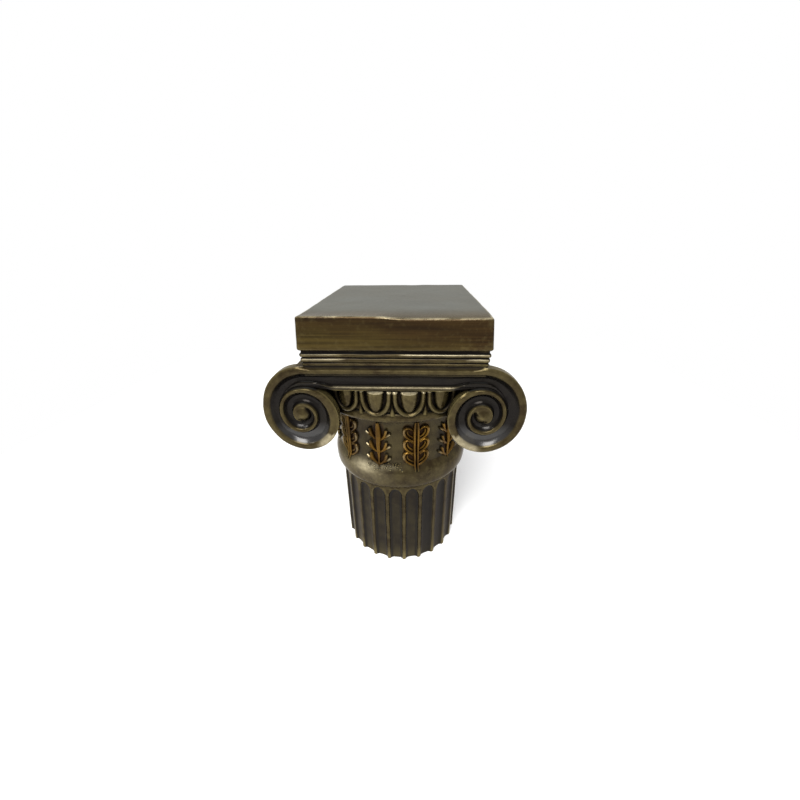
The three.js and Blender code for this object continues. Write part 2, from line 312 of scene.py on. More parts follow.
def ridge(curve, half_width, rise, surface, sides=6, crease=0.0):
    """A rounded raised line along a curve drawn on a surface in across and height, sunk below it."""
    curve = np.asarray(curve, float)
    sizes = [np.broadcast_to(size, len(curve))[:, None] for size in (half_width, rise, crease)]
    half_width, rise, crease = sizes
    heading = np.gradient(curve, axis=0)
    heading /= np.linalg.norm(heading, axis=1)[:, None]
    across, lift, sunk = half_round(sides)
    x = curve[:, :1] + heading[:, 1:] * half_width * across
    z = curve[:, 1:] - heading[:, :1] * half_width * across
    return loft(surface(x, z, rise * lift * (1 - crease * bell(across, 0.4)) - sunk))


def taper(values, steps):
    """Sizes along a curve, evened out between a few given ones."""
    return np.interp(np.linspace(0, 1, steps + 1), np.linspace(0, 1, len(values)), values)


def stroke(surface, controls, steps, widths, rises, sides=6, creases=(0,)):
    """A raised line along a smooth curve, its sizes evened out between the given ones."""
    width, rise, crease = (taper(values, steps) for values in (widths, rises, creases))
    return ridge(bezier(controls, steps), width, rise, surface, sides, crease)


# Shaft
def flute_columns(narrowing):
    """Angles and sunk depths of one flute and the arris after it; narrowing is 1 for the full width."""
    inside = np.sin(np.linspace(-math.pi / 2, math.pi / 2, 13))
    half = FLUTE_HALF_ANGLE * narrowing
    arris = np.linspace(half, FLUTE_PITCH - half, 5)[1:-1]
    hollow = np.clip(1 - np.abs(inside) ** 3, 0, 1) ** 0.55
    angles = np.concatenate([inside * half, arris])
    return angles, np.concatenate([hollow, np.zeros(len(arris))])


def shaft_row(height, narrowing, depth_share):
    angles, hollow = flute_columns(narrowing)
    ring_angles, ring_depths = [], []
    for flute in range(FLUTE_COUNT):
        ring_angles.append(FRONT_ARRIS + (flute + 0.5) * FLUTE_PITCH + angles)
        ring_depths.append(FLUTE_DEPTH * depth_share * hollow)
    return around(SHAFT_RADIUS - np.concatenate(ring_depths), np.concatenate(ring_angles), height)


def fluted_shaft():
    rows = [shaft_row(height, 1, 1) for height in np.linspace(0, FLUTE_SPRING, 10)]
    for rise in np.linspace(0, 1, 11)[1:]:
        height = FLUTE_SPRING + (FLUTE_TOP - FLUTE_SPRING) * math.sin(rise * math.pi / 2)
        narrowing = max(math.cos(rise * math.pi / 2), FLUTE_TIP)
        rows.append(shaft_row(height, narrowing, narrowing**0.6))
    rows.append(shaft_row(FLUTE_TOP + 0.2, FLUTE_TIP, 0))
    rows.append(shaft_row(SHAFT_TOP + 1, FLUTE_TIP, 0))
    return loft(rows)


# Neck, collar and bead
def neck_radius(height):
    """Radius of the smooth surface from the collar up to the bead."""
    away = np.clip(np.abs(height - COLLAR_MIDDLE) / COLLAR_HALF, 0, 1)
    swell = np.where(height > COLLAR_MIDDLE, (1 - away**2.4) ** 1.4, (1 - away**2.6) ** 0.5)
    flare = np.clip((height - NECK_FLARE_START) / (NECK_TOP - NECK_FLARE_START), 0, 1)
    return NECK_RADIUS + COLLAR_SWELL * swell + NECK_FLARE * flare**2


def turned_core():
    profile = [(CAP_RADIUS, FLUTE_TOP), (CORE_RADIUS, FLUTE_TOP), (COLLAR_FOOT_RADIUS, SHAFT_TOP - 0.1)]
    for turn in np.linspace(-math.pi / 2, math.pi / 2, 21):
        height = COLLAR_MIDDLE + COLLAR_HALF * math.sin(turn)
        profile.append((float(neck_radius(height)), height))
    for height in np.linspace(COLLAR_MIDDLE + COLLAR_HALF, NECK_TOP, 16)[1:]:
        profile.append((float(neck_radius(height)), height))
    profile.append((SOFFIT_RADIUS, BEAD_BOTTOM - 0.6))
    for turn in np.linspace(0, math.pi, 11):
        radius = ECHINUS_RADIUS + BEAD_BULGE * (1.6 * math.sin(turn) - 0.6)
        profile.append((radius, BEAD_BOTTOM + (BEAD_TOP - BEAD_BOTTOM) * (1 - math.cos(turn)) / 2))
    for height in np.linspace(BEAD_TOP + 0.8, EGG_TOP, 6):
        profile.append((ECHINUS_RADIUS, height))
    profile += [(ECHINUS_RADIUS - 3, RING_CROWN), (CAP_RADIUS, RING_CROWN)]
    return turned(profile, RING_COLUMNS)


# Egg-and-dart ring
def ring_surface(angle):
    """Across and height drawn on the ring's ground, centred at an angle."""
    return lambda across, height, lift: around(
        ECHINUS_RADIUS + lift, angle + across / ECHINUS_RADIUS, height)


def egg(angle):
    """A flat-topped shield that swells out and rounds in to its foot."""
    surface = ring_surface(angle)
    across, lift, sunk = half_round(12, 0.8)
    bevel = BEVEL_SHARE * EGG_BULGE * lift - sunk
    rings = [surface(EGG_HALF_WIDTH * across, EGG_TOP + EGG_BEVEL, bevel)]
    for share in np.concatenate([[0, 0.04], np.sin(np.linspace(0, math.pi / 2, 12))[1:]]):
        height = EGG_TOP + (EGG_BOTTOM - EGG_TOP) * share
        width = EGG_HALF_WIDTH * max(1 - share**2.2, EGG_TIP) ** 0.5
        bulge = EGG_BULGE * max(1 - share**3, EGG_TIP) ** 0.5
        rings.append(surface(width * across, height, bulge * lift - sunk))
    return loft(rings)


def shell(angle):
    """The U-shaped band around an egg."""
    turn = np.linspace(0, math.pi, 19)
    bowl = np.stack([SHELL_HALF_WIDTH * np.cos(turn),
                     SHELL_MIDDLE - (SHELL_MIDDLE - SHELL_BOTTOM) * np.sin(turn)], axis=1)
    tops = EGG_TOP + EGG_BEVEL, EGG_TOP, EGG_TOP - 0.5
    start = np.array([[SHELL_HALF_WIDTH + 0.1, top] for top in tops])
    curve = np.vstack([start, bowl, start[::-1] * [-1, 1]])
    rise = np.full(len(curve), SHELL_RISE)
    rise[[0, -1]] *= BEVEL_SHARE
    return ridge(curve, SHELL_BAND, rise, ring_surface(angle))


def dart(angle):
    """A thin tongue between two shells that widens onto the bead."""
    line = [[0, EGG_TOP], [0, DART_BOTTOM]]
    return stroke(ring_surface(angle), line, 8, [0.5, 0.5, 0.6, 1.9], [1.2, 1.2, 1.4, 1.8], 4)


def on_show(angle):
    """True where the rolls don't cover the ring."""
    return abs(math.sin(angle)) < math.sin(RING_SIDE_LIMIT)


def ring_carving():
    """The eggs, the shells and the darts, each kind as one body."""
    dart_angles = [RING_TURN + place * EGG_PITCH for place in range(EGG_COUNT)]
    egg_angles = [angle + EGG_PITCH / 2 for angle in dart_angles]
    shown = [angle for angle in egg_angles if on_show(angle)]
    return [
        joined([egg(angle) for angle in shown]),
        joined([shell(angle) for angle in shown]),
        joined([dart(angle) for angle in dart_angles if on_show(angle)]),
    ]


# Leaves
def neck_surface(angle):
    return lambda across, height, lift: around(
        neck_radius(height) + lift, angle + across / NECK_RADIUS, height)


def beside(points, side, base=0.0):
    """Points on one side of a stem, given for the right side and from a base up."""
    return np.array(points) * [side, 1] + [0, base]


def feather_stem(surface):
    line = [[0, LEAF_FOOT + 3], [0.3, LEAF_MIDDLE], [0, LEAF_TOP - 0.5]]
    widths = [0.5, 0.9, 1.2, 1.6, 2.0, 2.1, 1.2]
    rises = [0.8, 1.5, 1.8, 2.2, 2.5, 2.5, 1.6]
    return stroke(surface, line, 18, widths, rises, 8, [0, 0.2, 0.35, 0.35, 0.3, 0.1, 0])


def feather_prong(surface, side, base, tip):
    """One prong of a forked leaflet, which slants up from the stem to its tip."""
    line = beside([[0.6, 0], [3.4, 1.6], [5.2, 3.8], tip], side, base)
    return stroke(surface, line, 10, [0.8, 1.0, 1.1, 1.2, 1.3, 1.0], [1.0, 1.4, 1.7, 2.0, 2.4, 2.0])


def lobe_stem(surface, side):
    line = beside([[1.0, LEAF_FOOT], [1.1, LEAF_MIDDLE], [1.5, LEAF_TOP - 6], [0.7, LEAF_TOP]], side)
    return stroke(surface, line, 16, [0.7, 0.9, 1.0, 1.1, 1.2, 0.8], [1.0, 1.9, 2.0, 2.1, 2.2, 1.0])


def lobe_loop(surface, side, base):
    """The outer line of a lobe, which curls back to the stem."""
    line = beside([[1.6, 0], [6.0, 2], [10.6, 5.5], [10.0, 13.0], [4.2, 12.4], [2.4, 8.2]], side, base)
    return stroke(surface, line, 20, [0.8, 1.0, 1.2, 1.3, 1.1, 0.7], [1.0, 1.5, 1.9, 2.2, 1.9, 0.9])


def lobe_vein(surface, side, base):
    """The finer line inside a lobe."""
    line = beside([[1.4, 2.8], [4.4, 4.2], [7.4, 6.6], [5.6, 9.6]], side, base)
    return stroke(surface, line, 12, [0.6, 0.8, 0.8, 0.5], [0.9, 1.3, 1.4, 0.9], 4)


def leaf_carving():
    """Feather and lobe leaves in turn around the neck; each body holds one line of every leaf."""
    lines = defaultdict(list)
    for place in range(LEAF_COUNT):
        surface = neck_surface((place + 0.5) * LEAF_PITCH)
        lobed = place % 2 == 0
        if not lobed:
            lines["stem"].append(feather_stem(surface))
        for side in (-1, 1):
            if lobed:
                lines["half stem", side].append(lobe_stem(surface, side))
            for row in range(LEAFLET_ROWS):
                base = row * LEAFLET_PITCH + (LOBE_FIRST if lobed else FEATHER_FIRST)
                if lobed:
                    lines["outer", side, row].append(lobe_loop(surface, side, base))
                    lines["vein", side, row].append(lobe_vein(surface, side, base))
                else:
                    lines["outer", side, row].append(feather_prong(surface, side, base, LOW_PRONG))
                    lines["upper", side, row].append(feather_prong(surface, side, base, HIGH_PRONG))
    return [joined(bodies) for bodies in lines.values()]


def casting_grain(centre, size):
    """A ball with flattened poles."""
    ring = np.linspace(0, 2 * math.pi, 9)[:-1]
    rows = []
    for arc in np.linspace(0.3, math.pi - 0.3, 5):
        flat = math.sin(arc)
        row = [flat * np.cos(ring), flat * np.sin(ring), np.full(len(ring), -math.cos(arc))]
        rows.append(centre + size * np.stack(row, axis=1))
    return loft(rows)


def rough_patch():
    """Grains of casting left on the collar under the front leaves, in a few bodies."""
    draw = np.random.default_rng(CASTING_SEED)
    grains = []
    for angle in GRAIN_ANGLES:
        for height in GRAIN_HEIGHTS:
            turn = angle + draw.uniform(-0.02, 0.02)
            middle = height + draw.uniform(-1.0, 1.0)
            size = draw.uniform(GRAIN_SMALLEST, GRAIN_LARGEST)
            grains.append(casting_grain(around(float(neck_radius(middle)) + 0.1, turn, middle), size))
    return [joined(grains[first::GRAIN_GROUPS]) for first in range(GRAIN_GROUPS)]


# Scrolls
def spiral_radius(turns):
    """Distance of the rim's outer edge from the eye; the first turn sags a little."""
    sag = SCROLL_SAG * np.sin(math.pi * np.clip(turns, 0, 1)) ** 2
    return SCROLL_RADIUS * (1 - turns / SPIRAL_TURNS) ** SPIRAL_POWER + sag


EYE_RADIUS = spiral_radius(SPIRAL_END)


def rim_width(turns):
    return RIM_WIDTH - RIM_NARROWING * ramp_up(turns, 0.65, 0.5)


def outer_flank(turns):
    """How far the outer edge of the rim is rounded back."""
    return OUTER_FLANK + (RIM_FLANK - OUTER_FLANK) * ramp_up(turns, 0.8, 0.2)


def groove_fill(scroll, turns):
    """0 where a groove runs beside the eye, 1 where the last of the rim has grown into it."""
    grown = ramp_up(turns, scroll["groove_end"], 0.12)
    return grown * (1 - ramp_up(turns, GROOVE_RETURN, SPIRAL_END - GROOVE_RETURN))


def scroll_point(scroll, turns, radius, share=0.0):
    """Place at a distance from the eye: turns count from straight above it, share goes across the band."""
    along = turns + share
    lean = scroll["lean"] * ramp_down(along, 1.25, 0.5) * ramp_up(along, 0, 0.2)
    across = scroll["eye"] + lean + SCROLL_SQUEEZE * radius * np.sin(2 * math.pi * turns)
    return scroll["side"] * across, EYE_HEIGHT + radius * np.cos(2 * math.pi * turns)


def rim_profile(turns, rim, fill, cove):
    """Sunk depths across a rim, from its outer edge; a cove draws that edge further back."""
    flank = max(min(RIM_FLANK_WIDTH, 0.4 * rim) + COVE_WIDTH * cove, 0.001)
    crown = CROWN_DROP * np.abs(2 * RIM_SHARES - 1) ** 3 * np.where(RIM_SHARES > 0.5, 1 - fill, 1)
    drawn_back = outer_flank(turns) + COVE_DEPTH * cove
    return np.maximum(crown, drawn_back * (1 - smooth(RIM_SHARES * rim / flank)))


def trough_profile(width, edge, fill):
    """Sunk depths across a trough, from the rim to the edge inside it."""
    deep = min(TROUGH_DEPTH, 0.75 * width) * (1 - fill)
    bowl = 0.85 * deep * np.sin(math.pi * TROUGH_SHARES) ** 0.8
    return CROWN_DROP * (1 - TROUGH_SHARES) * (1 - fill) + edge * TROUGH_SHARES**1.5 + bowl


def with_lip(depths, place, strength, hold):
    """The same depths with the lip's ledge and raised line; hold keeps the ledge up to the edge."""
    ledge = strength * smooth((TROUGH_SHARES - place) / 0.09 + 1)
    ledge = ledge * (1 - (1 - hold) * ramp_up(TROUGH_SHARES, 0.85, 0.15))
    line = np.clip(1 - ((TROUGH_SHARES - place) / 0.08) ** 2, 0, 1)
    return depths + (LIP_DEPTH - depths) * ledge - LIP_LINE * strength * line


def cross_section(turns, outer, inner, fill, lip, cove=0.0):
    """Distances from the eye and sunk depths across one turn: the rim, then the trough inside it."""
    width = outer - inner
    rim = min(rim_width(turns), 0.96 * width)
    trough = trough_profile(width - rim, RIM_FLANK * (1 - fill), fill)
    depths = np.concatenate([rim_profile(turns, rim, fill, cove), with_lip(trough, *lip)])
    fade = ramp_up(turns, RIM_END, SPIRAL_END - RIM_END)
    distances = outer - np.concatenate([RIM_SHARES * rim, rim + TROUGH_SHARES * (width - rim)])
    return distances, depths + (RIM_FLANK - depths) * fade


def band_columns(scroll):
    """Rows of points across the straight band, from the middle of the face to above the eye."""
    columns = []
    for across in np.linspace(0, scroll["eye"], BAND_STEPS + 1)[:-1]:
        from_eye = scroll["eye"] - across
        away = ramp_up(from_eye, 12, 8)
        lip = (LIP_PLACE + 0.14 * ramp_up(from_eye, 7, 10), LIP_STRENGTH + 0.2 * away, away)
        inner = spiral_radius(1) - LIP_DROP * away
        distances, depths = cross_section(0, spiral_radius(0), inner, 0, lip, ramp_up(from_eye, 1, 5))
        columns.append(np.stack([np.full(len(depths), scroll["side"] * across),
                                 depths - SCROLL_FRONT, EYE_HEIGHT + distances], axis=1))
    return columns


def scroll_columns(scroll):
    """Rows of points across the band, along it and round into the eye."""
    columns = band_columns(scroll)
    for step in range(round(SPIRAL_END * TURN_STEPS) + 1):
        turns = step / TURN_STEPS
        outer = spiral_radius(turns)
        inner = spiral_radius(turns + 1) if turns + 1 <= SPIRAL_END else EYE_RADIUS
        lip = (LIP_PLACE + 0.2 * ramp_up(turns, 0, 0.14), LIP_STRENGTH * (1 - ramp_up(turns, 0.03, 0.12)), 0)
        distances, depths = cross_section(turns, outer, inner, groove_fill(scroll, turns), lip)
        share = (outer - distances) / max(outer - inner, 0.001)
        across, height = scroll_point(scroll, turns, distances, share)
        columns.append(np.stack([across, depths - SCROLL_FRONT, height], axis=1))
    return np.array(columns)


def eye_dome(scroll, edge):
    """Rings from the foot of the eye up to its crown."""
    crown = np.array([scroll["side"] * scroll["eye"], -SCROLL_FRONT - EYE_RISE, EYE_HEIGHT])
    rings = []
    for share in np.linspace(0, 1, EYE_RINGS + 1)[:-1]:
        ring = edge + (crown - edge) * share
        ring[:, 1] = edge[:, 1] + (crown[1] - edge[:, 1]) * math.sin(share * math.pi / 2)
        rings.append(ring)
    return np.array(rings), crown


def grid_faces(rows, columns, first=0):
    faces = []
    for row in range(rows - 1):
        start = first + row * columns
        for column in range(columns - 1):
            corner = start + column
            faces.append((corner, corner + 1, corner + columns + 1, corner + columns))
    return faces


def welded(points, faces):
    """Points that share a place become one, and faces that collapse are dropped."""
    keys = np.round(points, 4)
    _, first, place = np.unique(keys, axis=0, return_index=True, return_inverse=True)
    place = place.reshape(-1)
    kept = []
    for face in faces:
        ring = [place[index] for index in face]
        ring = [index for spot, index in enumerate(ring) if index != ring[spot - 1]]
        if len(ring) > 2:
            kept.append(tuple(int(index) for index in ring))
    return points[first], kept


def scroll_side(scroll):
    """One half of a face: the band's half, its scroll and the eye, facing the front."""
    columns = scroll_columns(scroll)
    count, across = columns.shape[:2]
    edge = columns[count - TURN_STEPS - 1:, -1]
    rings, crown = eye_dome(scroll, edge)
    points = np.vstack([columns.reshape(-1, 3), rings.reshape(-1, 3), [crown]])
    faces = grid_faces(count, across)
    first = count * across
    ring_size = TURN_STEPS + 1
    faces += [face[::-1] for face in grid_faces(EYE_RINGS, ring_size, first)]
    last = first + (EYE_RINGS - 1) * ring_size
    faces += [(last + spot + 1, last + spot, len(points) - 1) for spot in range(TURN_STEPS)]
    if scroll["side"] < 0:
        faces = [face[::-1] for face in faces]
    return points, faces


def thickened(points, faces, back):
    """A relief made into a body: a wall around its outline and one flat face behind it."""
    edges = {(start, end) for face in faces for start, end in zip(face, face[1:] + face[:1])}
    follows = {end: start for start, end in edges if (end, start) not in edges}
    outline = [next(iter(follows))]
    while follows[outline[-1]] != outline[0]:
        outline.append(follows[outline[-1]])
    count = len(points)
    behind = points[outline] * [1, 0, 1] + [0, back, 0]
    walls = []
    for spot in range(len(outline)):
        before = (spot - 1) % len(outline)
        walls.append((outline[before], outline[spot], count + spot, count + before))
    flat = tuple(range(count, count + len(outline)))
    return facing_out(np.vstack([points, behind]), faces + walls + [flat])


def mirrored_in_depth(body):
    points, faces = body
    return points * [1, -1, 1], [face[::-1] for face in faces]


def scroll_faces():
    halves = joined([scroll_side(RIGHT_SCROLL), scroll_side(LEFT_SCROLL)])
    front = thickened(*welded(*halves), -SCROLL_BACK)
    return joined([front, mirrored_in_depth(front)])


def roll(scroll):
    """The roll between the front and the back scroll, narrowest halfway."""
    turns = np.linspace(0, 0.98, TURN_STEPS)
    across, height = scroll_point(scroll, turns, spiral_radius(turns))
    middle = scroll["side"] * scroll["eye"]
    rings = []
    for along in np.linspace(-1, 1, ROLL_STEPS + 1):
        scale = WAIST_SCALE + (ROLL_END_SCALE - WAIST_SCALE) * along**2
        rings.append(np.stack([middle + (across - middle) * scale, np.full(TURN_STEPS, along * ROLL_END),
                               EYE_HEIGHT + (height - EYE_HEIGHT) * scale], axis=1))
    return loft(rings)


def band_block():
    """The block between the rolls, under the courses."""
    left, right = -LEFT_SCROLL["eye"] - 0.3, RIGHT_SCROLL["eye"] + 0.3
    bottom, top = EYE_HEIGHT + spiral_radius(1) - LIP_DROP, EYE_HEIGHT + SCROLL_RADIUS
    corners = [(left, -ROLL_END), (right, -ROLL_END), (right, ROLL_END), (left, ROLL_END)]
    return loft([[(x, y, height) for x, y in corners] for height in (bottom, top)])


# Slab and courses
def plan(inset):
    """Outline of the slab seen from above, drawn in by an inset."""
    half_x, half_y = SLAB_HALF_X - inset, SLAB_HALF_Y - inset
    radius = max(CORNER_RADIUS - 0.3 * inset, 0.5)
    points = []
    for quarter, (sign_x, sign_y) in enumerate(((1, -1), (1, 1), (-1, 1), (-1, -1))):
        centre = np.array([sign_x * (half_x - radius), sign_y * (half_y - radius)])
        turns = np.linspace(quarter - 1, quarter, 6) * math.pi / 2
        points.append(centre + radius * np.stack([np.cos(turns), np.sin(turns)], axis=1))
    outline = []
    for corner, after in zip(points, points[1:] + points[:1]):
        share = np.linspace(0, 1, 26)[1:-1, None]
        outline += [corner, corner[-1] + (after[0] - corner[-1]) * share]
    return np.vstack(outline)


def plan_ring(inset, height):
    outline = plan(inset)
    return np.column_stack([outline, np.full(len(outline), height)])


def top_wave(points):
    """How far the slab's top steps down along its front edge."""
    front = np.exp(-(points[:, 1] + SLAB_HALF_Y) / TOP_WAVE_REACH)
    return TOP_WAVE * front * np.tanh((points[:, 0] - TOP_WAVE_X) / TOP_WAVE_LENGTH)


def slab():
    """A plain slab with softened edges, a little wider at its foot; its top front edge steps down."""
    rings = [plan_ring(HIDDEN_INSET, SLAB_BOTTOM), plan_ring(SLAB_EDGE, SLAB_BOTTOM)]
    corner = np.linspace(0, math.pi / 2, 6)
    for turn in corner:
        inset = SLAB_EDGE * (1 - math.sin(turn))
        rings.append(plan_ring(inset, SLAB_BOTTOM + SLAB_EDGE * (1 - math.cos(turn))))
    for share in (0.3, 0.5, 0.7):
        rings.append(plan_ring(SLAB_BATTER * share, SLAB_BOTTOM + share * (TOTAL_HEIGHT - SLAB_BOTTOM)))
    for turn in corner:
        inset = SLAB_BATTER + SLAB_EDGE * (1 - math.cos(turn))
        rings.append(plan_ring(inset, TOTAL_HEIGHT - SLAB_EDGE * (1 - math.sin(turn))))
    for inset in np.concatenate([[2.8], np.linspace(4, SLAB_HALF_X - 2, 16)]):
        rings.append(plan_ring(inset, TOTAL_HEIGHT))
    points, faces = loft(rings)
    points[:, 2] -= ramp_up(points[:, 2], SLAB_BOTTOM, TOTAL_HEIGHT - SLAB_BOTTOM) * top_wave(points)
    return points, faces


def course_groove(inset, height, kept):
    """A ring in the groove beside a course: its ends are deep, its middle keeps a share of the depth."""
    deep = plan_ring(COURSE_CORE_INSET, height)
    shallow = plan_ring(inset, height)
    share = kept + (1 - kept) * ramp_up(np.abs(deep[:, :1]), WORN_HALF, WORN_FADE)
    return shallow + (deep - shallow) * share


def courses():
    """Three fine beads under the slab, with a deep groove above them."""
    rings = [plan_ring(HIDDEN_INSET, COURSE_BOTTOM), plan_ring(COURSE_CORE_INSET, COURSE_BOTTOM)]
    below = 1.0
    for low, high, inset, kept in COURSES:
        rings.append(course_groove(inset, low - 0.1, below))
        for turn in np.linspace(0.15, math.pi - 0.15, 7):
            swell = (COURSE_CORE_INSET - inset) * math.sin(turn) ** 0.6
            ring = plan_ring(COURSE_CORE_INSET - swell, low + (high - low) * (1 - math.cos(turn)) / 2)
            rings.append(ring)
        rings.append(course_groove(inset, high + 0.1, kept))
        below = kept
    rings.append(plan_ring(QUIRK_INSET, high + 0.3))
    rings.append(plan_ring(QUIRK_INSET, SLAB_BOTTOM + 1))
    rings.append(plan_ring(HIDDEN_INSET, SLAB_BOTTOM + 1))
    return loft(rings)


# One mesh of everything
def in_scene(name, data):
    """A new object of the scene."""
    thing = bpy.data.objects.new(name, data)
    bpy.context.scene.collection.objects.link(thing)
    return thing


def object_of(name, body):
    points, faces = body
    mesh = bpy.data.meshes.new(name)
    mesh.from_pydata(hand_cast(points).tolist(), [], faces)
    mesh.validate()
    return in_scene(name, mesh)


def united(name, bodies):
    """All bodies fused into one closed mesh, still in millimetres."""
    base = object_of(name, bodies[0])
    others = [object_of(f"{name}_part", body) for body in bodies[1:]]
    for other in others:
        fuse = base.modifiers.new("fuse", "BOOLEAN")
        fuse.operation = "UNION"
        fuse.solver = "MANIFOLD"
        fuse.object = other
    bpy.context.view_layer.update()
    evaluated = base.evaluated_get(bpy.context.evaluated_depsgraph_get())
    mesh = bpy.data.meshes.new_from_object(evaluated)
    base.modifiers.clear()
    base.data = mesh
    for other in others:
        bpy.data.objects.remove(other)
    return base


def without_scraps(mesh):
    """Keeps the body that holds the middle of the foot and drops the scraps that fusing leaves."""
    grid = bmesh.new()
    grid.from_mesh(mesh)
    start = min(grid.verts, key=lambda corner: corner.co.length)
    kept = {start}
    waiting = [start]
    while waiting:
        corner = waiting.pop()
        reached = {edge.other_vert(corner) for edge in corner.link_edges} - kept
        kept |= reached
        waiting += reached
    bmesh.ops.delete(grid, geom=[corner for corner in grid.verts if corner not in kept], context="VERTS")
    grid.to_mesh(mesh)
    grid.free()


def vertex_array(mesh, field):
    values = np.empty(len(mesh.vertices) * 3, np.float32)
    getattr(mesh, field).foreach_get("vector" if field == "vertex_normals" else "co", values)
    return values.reshape(-1, 3).astype(float)


def edge_ends(mesh):
    """The points at both ends of every edge, each edge taken both ways."""
    ends = np.empty(len(mesh.edges) * 2, np.int32)
    mesh.edges.foreach_get("vertices", ends)
    ends = ends.reshape(-1, 2)
    return np.vstack([ends, ends[:, ::-1]]).T


def spread(values, ends, rounds):
    """Evens values out along the mesh's edges."""
    here, there = ends
    count = 1 + np.bincount(here, minlength=len(values))
    for _ in range(rounds):
        total = values.copy()
        np.add.at(total, here, values[there])
        values = total / count
    return values


def hand_cast(points):
    """The same points with the small unevenness of a casting; the foot stays flat."""
    moved = points.copy()
    for place, point in enumerate(points):
        broad = BROAD_SIZE * noise.noise_vector(Vector(point) / BROAD_LENGTH)
        fine = FINE_SIZE * noise.noise_vector(Vector(point) / FINE_LENGTH)
        moved[place] += np.array(broad + fine) * min(max(point[2], 0.0), 1.0)
    return moved


def recess_of(mesh, reach=9.0, ray_count=26):
    """How closed in each point is, from 0 in the open to 1 in a deep groove; the finish darkens by it as
    painted shade.
    """
    points = vertex_array(mesh, "vertices")
    normals = vertex_array(mesh, "vertex_normals")
    tree = BVHTree.FromPolygons(points.tolist(), [tuple(face.vertices) for face in mesh.polygons])
    steps = np.arange(ray_count) + 0.5
    heights = 1 - 2 * steps / ray_count
    turns = steps * math.pi * (1 + 5**0.5)
    flat = np.sqrt(1 - heights**2)
    rays = [Vector(ray) for ray in np.stack([flat * np.cos(turns), flat * np.sin(turns), heights], axis=1)]
    closed = np.zeros(len(points))
    for place, (point, normal) in enumerate(zip(points, normals)):
        facing = Vector(normal)
        start = Vector(point) + facing * 0.08
        total, met = 0.0, 0.0
        for ray in rays:
            lean = ray.dot(facing)
            if lean > 0.1:
                total += lean
                distance = tree.ray_cast(start, ray, reach)[3]
                if distance is not None:
                    met += lean * (1 - distance / reach)
        closed[place] = met / max(total, 0.01)
    return closed


def ridge_of(mesh, ends):
    """How sharply the surface bends outwards at each point, from -1 to 1."""
    here, there = ends
    points = vertex_array(mesh, "vertices")
    normals = vertex_array(mesh, "vertex_normals")
    step = points[here] - points[there]
    length = np.maximum(np.linalg.norm(step, axis=1), 0.02)
    bend = np.bincount(here, np.einsum("ij,ij->i", normals[here], step))
    return bend / np.bincount(here, length)


def leaf_place(points):
    """How far across its leaf each point of the neck lies, and whether that leaf is lobed."""
    turn = np.arctan2(points[:, 0], -points[:, 1]) / LEAF_PITCH
    return (np.mod(turn, 1) - 0.5) * LEAF_PITCH * NECK_RADIUS, np.floor(turn) % 2 == 0


def radius_of(points):
    return np.hypot(points[:, 0], points[:, 1])


def lifted_off_neck(points):
    return radius_of(points) - neck_radius(points[:, 2])


def slab_inset(points):
    """How far inside the sides of the slab each point lies."""
    return np.minimum(SLAB_HALF_X - np.abs(points[:, 0]), SLAB_HALF_Y - np.abs(points[:, 1]))


def angle_of(points):
    """Degrees from the front, to the right."""
    return np.degrees(np.arctan2(points[:, 0], -points[:, 1]))


def gilt_of(points):
    """How much gold is left on the leaves: least on their tips and on the left of the front."""
    across, lobed = leaf_place(points)
    aside, angle, height = np.abs(across), angle_of(points), points[:, 2]
    lift = lifted_off_neck(points)
    raised = ramp_up(lift, 0.25, 0.7) * (lift < COLLAR_SWELL + 2)
    foot = np.where(aside < 2.4, LEAF_FOOT, LEAF_FOOT + 3)
    inside = ramp_up(height, foot, 2) * ramp_down(height, LEAF_TOP + 2, 1)
    tips = np.where(lobed, 0.4 * ramp_up(aside, 7, 3), 0.7 * ramp_up(aside, 5, 2))
    left = 1 - 0.75 * smooth(1 - np.abs(angle + 62) / 32)
    return raised * inside * left * (1 - tips * (1 - 0.8 * ramp_up(angle, 25, 15)))


def collar_highlight(points):
    """Painted highlights on the left front of the collar and on the rough patch, a little painted light over
    the left of the collar, none on the right.
    """
    angle, height = angle_of(points), points[:, 2] - COLLAR_MIDDLE
    collar = smooth(1 - np.abs(height - 1) / 11) * (1 - ramp_up(angle, -20, 25))
    left_front = bell(angle + 28, 9) * bell(height - 6, 3.2)
    patch = bell(angle + 10, 9) * bell(height - 7.8, 1.6)
    return np.clip(0.1 * collar + 0.8 * left_front + 0.3 * patch, 0, 1)


def course_highlight(points):
    """Painted highlight dashes along the upper two courses of the front."""
    across, depth, height = points.T
    upper = bell(height - UPPER_DASHES, DASH_WIDTH) * (ramp_up(across, 2, 8) + 0.4 * ramp_up(-across, 28, 5))
    lower = bell(height - LOWER_DASHES, DASH_WIDTH) * (ramp_up(-across, 27, 4) + ramp_up(across, 39, 4))
    return 0.8 * np.maximum(upper, lower) * (np.abs(depth + SLAB_HALF_Y - 1) < 1.5)


def slab_highlight(points):
    """A fine painted highlight, broken unevenly, along the slab's top edge."""
    level = points[:, 2] + top_wave(points)
    along = points[:, 0] + points[:, 1]
    uneven = np.clip(0.55 + 0.6 * np.sin(0.35 * along) * np.cos(0.11 * along + 0.6), 0.3, 1)
    at_edge = ramp_down(slab_inset(points), EDGE_LINE_INSET, 0.4)
    return uneven * ramp_up(level, TOTAL_HEIGHT - 0.55, 0.35) * at_edge


def lip_highlight(points):
    """The painted highlight along the lip over the eggs."""
    across, depth, height = points.T
    on_lip = np.abs(np.abs(depth) - SCROLL_FRONT + LIP_DEPTH - 0.2) < 0.5
    return 0.45 * bell(height - LIP_HEIGHT, 0.45) * ramp_down(np.abs(across), LIP_HALF_LENGTH, 3) * on_lip


